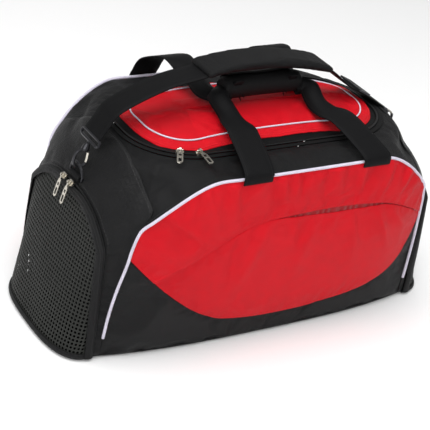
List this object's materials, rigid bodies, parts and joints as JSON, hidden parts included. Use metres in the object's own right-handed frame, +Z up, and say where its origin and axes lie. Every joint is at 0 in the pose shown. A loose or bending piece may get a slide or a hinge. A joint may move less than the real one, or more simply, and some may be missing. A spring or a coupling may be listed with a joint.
{
  "type": "hockey equipment bag",
  "caption": "Soft domed duffel bag with a zipped lid, mesh end pockets, webbing carry handles with a wrap grip and a padded shoulder strap on snap hooks.",
  "frame": {"origin": "on the ground under the middle of the bag", "axes": "+X along the bag to its right end, -Y out of the front with the slash pocket, +Z up"},
  "size_m": [0.7104, 0.3758, 0.4283],
  "materials": {
    "black_shell": "satin",
    "red_shell": "satin",
    "red_lining": "satin",
    "piping": "satin",
    "mesh": "matte",
    "webbing": "satin",
    "zip_tape": "satin",
    "nickel": "satin",
    "dark_metal": "gloss",
    "board": "matte"
  },
  "bodies": {
    "shell": {"front_lower_panel": "black_shell", "rear_lower_panel": "black_shell", "base_panel": "black_shell", "top_deck": "black_shell", "right_shoulder_panel": "black_shell", "left_shoulder_panel": "black_shell", "right_front_gusset": "black_shell", "right_rear_gusset": "black_shell", "left_front_gusset": "black_shell", "left_rear_gusset": "black_shell", "left_end_wall": "black_shell", "right_end_wall": "black_shell", "left_pocket_floor": "black_shell", "right_pocket_floor": "black_shell", "front_leaf_panel": "red_shell", "rear_leaf_panel": "red_shell", "front_pocket_liner": "red_lining", "front_piping": "piping", "rear_piping": "piping", "left_ring_tab": "webbing", "right_ring_tab": "webbing", "deck_zip_tape": "zip_tape", "base_board": "board"},
    "lid": {"lid_panel": "red_shell", "lid_band": "red_shell", "lid_piping": "piping", "lid_zip_tape": "zip_tape"},
    "front_handle": {"front_handle_webbing": "webbing", "grip_wrap": "black_shell"},
    "rear_handle": {"rear_handle_webbing": "webbing"},
    "grip_flap": {"grip_flap": "black_shell"},
    "strap": {"shoulder_strap": "webbing", "left_strap_loop": "dark_metal", "right_strap_loop": "dark_metal"},
    "pad": {"shoulder_pad": "black_shell"},
    "adjuster": {"strap_adjuster": "dark_metal"},
    "left_pocket": {"left_pocket_frame": "black_shell", "left_pocket_mesh": "mesh"},
    "left_hook": {"left_hook": "dark_metal"},
    "left_gate": {"left_hook_gate": "nickel"},
    "left_ring": {"left_d_ring": "dark_metal"},
    "lid_left_slider": {"lid_left_slider": "nickel"},
    "lid_left_pull": {"lid_left_pull": "nickel"},
    "left_pocket_front_slider": {"left_pocket_front_slider": "nickel"},
    "left_pocket_front_pull": {"left_pocket_front_pull": "nickel"},
    "left_pocket_rear_slider": {"left_pocket_rear_slider": "nickel"},
    "left_pocket_rear_pull": {"left_pocket_rear_pull": "nickel"},
    "right_pocket": {"right_pocket_frame": "black_shell", "right_pocket_mesh": "mesh"},
    "right_hook": {"right_hook": "dark_metal"},
    "right_gate": {"right_hook_gate": "nickel"},
    "right_ring": {"right_d_ring": "dark_metal"},
    "lid_right_slider": {"lid_right_slider": "nickel"},
    "lid_right_pull": {"lid_right_pull": "nickel"},
    "right_pocket_front_slider": {"right_pocket_front_slider": "nickel"},
    "right_pocket_front_pull": {"right_pocket_front_pull": "nickel"},
    "right_pocket_rear_slider": {"right_pocket_rear_slider": "nickel"},
    "right_pocket_rear_pull": {"right_pocket_rear_pull": "nickel"}
  },
  "joints": [
    {"name": "lid_hinge", "type": "hinge", "parent": "shell", "child": "lid", "pos_m": [0, 0.108, 0.327], "axis": [-1, 0, 0], "range_deg": [0, 110], "deforming": ["front_handle_webbing", "rear_handle_webbing", "grip_wrap", "grip_flap", "shoulder_strap", "shoulder_pad", "strap_adjuster"]},
    {"name": "lid_left_slider_travel", "type": "hinge", "parent": "lid", "child": "lid_left_slider", "pos_m": [-0.13, -0.013, 0.327], "axis": [0, 0, -1], "range_deg": [0, 60]},
    {"name": "lid_right_slider_travel", "type": "slide", "parent": "lid", "child": "lid_right_slider", "axis": [1, 0, 0], "range_m": [0, 0.27]},
    {"name": "lid_left_pull_flip", "type": "hinge", "parent": "lid_left_slider", "child": "lid_left_pull", "pos_m": [-0.17555, -0.09637, 0.335], "axis": [-0.8776, 0.4794, 0], "range_deg": [0, 150]},
    {"name": "lid_right_pull_flip", "type": "hinge", "parent": "lid_right_slider", "child": "lid_right_pull", "pos_m": [-0.148, -0.107, 0.335], "axis": [-1, 0, 0], "range_deg": [0, 150]},
    {"name": "left_pocket_hinge", "type": "hinge", "parent": "shell", "child": "left_pocket", "pos_m": [-0.3552, 0, 0.0037], "axis": [0, -1, 0], "range_deg": [0, 90]},
    {"name": "left_pocket_front_slider_travel", "type": "slide", "parent": "left_pocket", "child": "left_pocket_front_slider", "axis": [0, -1, 0], "range_m": [0, 0.04]},
    {"name": "left_pocket_front_pull_flip", "type": "hinge", "parent": "left_pocket_front_slider", "child": "left_pocket_front_pull", "pos_m": [-0.30956, -0.012, 0.25468], "axis": [0, 1, 0], "range_deg": [0, 150]},
    {"name": "left_pocket_rear_slider_travel", "type": "slide", "parent": "left_pocket", "child": "left_pocket_rear_slider", "axis": [0, 1, 0], "range_m": [0, 0.04]},
    {"name": "left_pocket_rear_pull_flip", "type": "hinge", "parent": "left_pocket_rear_slider", "child": "left_pocket_rear_pull", "pos_m": [-0.30956, 0.012, 0.25468], "axis": [0, 1, 0], "range_deg": [0, 150]},
    {"name": "right_pocket_hinge", "type": "hinge", "parent": "shell", "child": "right_pocket", "pos_m": [0.3552, 0, 0.0037], "axis": [0, 1, 0], "range_deg": [0, 90]},
    {"name": "right_pocket_front_slider_travel", "type": "slide", "parent": "right_pocket", "child": "right_pocket_front_slider", "axis": [0, -1, 0], "range_m": [0, 0.04]},
    {"name": "right_pocket_front_pull_flip", "type": "hinge", "parent": "right_pocket_front_slider", "child": "right_pocket_front_pull", "pos_m": [0.30956, -0.012, 0.25468], "axis": [0, -1, 0], "range_deg": [0, 150]},
    {"name": "right_pocket_rear_slider_travel", "type": "slide", "parent": "right_pocket", "child": "right_pocket_rear_slider", "axis": [0, 1, 0], "range_m": [0, 0.04]},
    {"name": "right_pocket_rear_pull_flip", "type": "hinge", "parent": "right_pocket_rear_slider", "child": "right_pocket_rear_pull", "pos_m": [0.30956, 0.012, 0.25468], "axis": [0, -1, 0], "range_deg": [0, 150]},
    {"name": "front_handle_swing", "type": "hinge", "parent": "shell", "child": "front_handle", "pos_m": [0.018, -0.1868, 0.3195], "axis": [1, 0, 0], "range_deg": [0, 225]},
    {"name": "rear_handle_swing", "type": "hinge", "parent": "shell", "child": "rear_handle", "pos_m": [0.018, 0.1868, 0.3195], "axis": [-1, 0, 0], "range_deg": [0, 225]},
    {"name": "grip_flap_hinge", "type": "hinge", "parent": "front_handle", "child": "grip_flap", "pos_m": [0.014, -0.019, 0.377], "axis": [1, 0, 0], "range_deg": [0, 150]},
    {"name": "strap_swing", "type": "hinge", "parent": "shell", "child": "strap", "pos_m": [-0.294, -0.004, 0.27612], "axis": [1, 0, 0.0099], "range_deg": [-22, 22]},
    {"name": "pad_slide", "type": "hinge", "parent": "strap", "child": "pad", "pos_m": [-0.008, -0.004, 0.024], "axis": [0, 1, 0], "range_deg": [-5, 5]},
    {"name": "adjuster_slide", "type": "slide", "parent": "strap", "child": "adjuster", "axis": [0.8925, 0, -0.451], "range_m": [-0.02, 0.01]},
    {"name": "left_hook_swivel", "type": "hinge", "parent": "strap", "child": "left_hook", "pos_m": [-0.294, -0.004, 0.27612], "axis": [0.3623, 0, 0.9321], "range_deg": [-15, 15]},
    {"name": "right_hook_swivel", "type": "hinge", "parent": "strap", "child": "right_hook", "pos_m": [0.289, -0.004, 0.28189], "axis": [-0.6781, 0, 0.735], "range_deg": [-15, 15]},
    {"name": "left_gate_press", "type": "hinge", "parent": "left_hook", "child": "left_gate", "pos_m": [-0.2807, -0.004, 0.27996], "axis": [0, -1, 0], "range_deg": [0, 22], "stiffness_Nm_per_rad": 0.05, "springref_deg": -17.19},
    {"name": "right_gate_press", "type": "hinge", "parent": "right_hook", "child": "right_gate", "pos_m": [0.29139, -0.004, 0.29552], "axis": [0, -1, 0], "range_deg": [0, 22], "stiffness_Nm_per_rad": 0.05, "springref_deg": -17.19},
    {"name": "left_ring_tilt", "type": "hinge", "parent": "shell", "child": "left_ring", "pos_m": [-0.294, -0.004, 0.25872], "axis": [0, 1, 0], "range_deg": [-3, 8]},
    {"name": "right_ring_tilt", "type": "hinge", "parent": "shell", "child": "right_ring", "pos_m": [0.289, -0.004, 0.26449], "axis": [0, 1, 0], "range_deg": [-8, 0]}
  ]
}
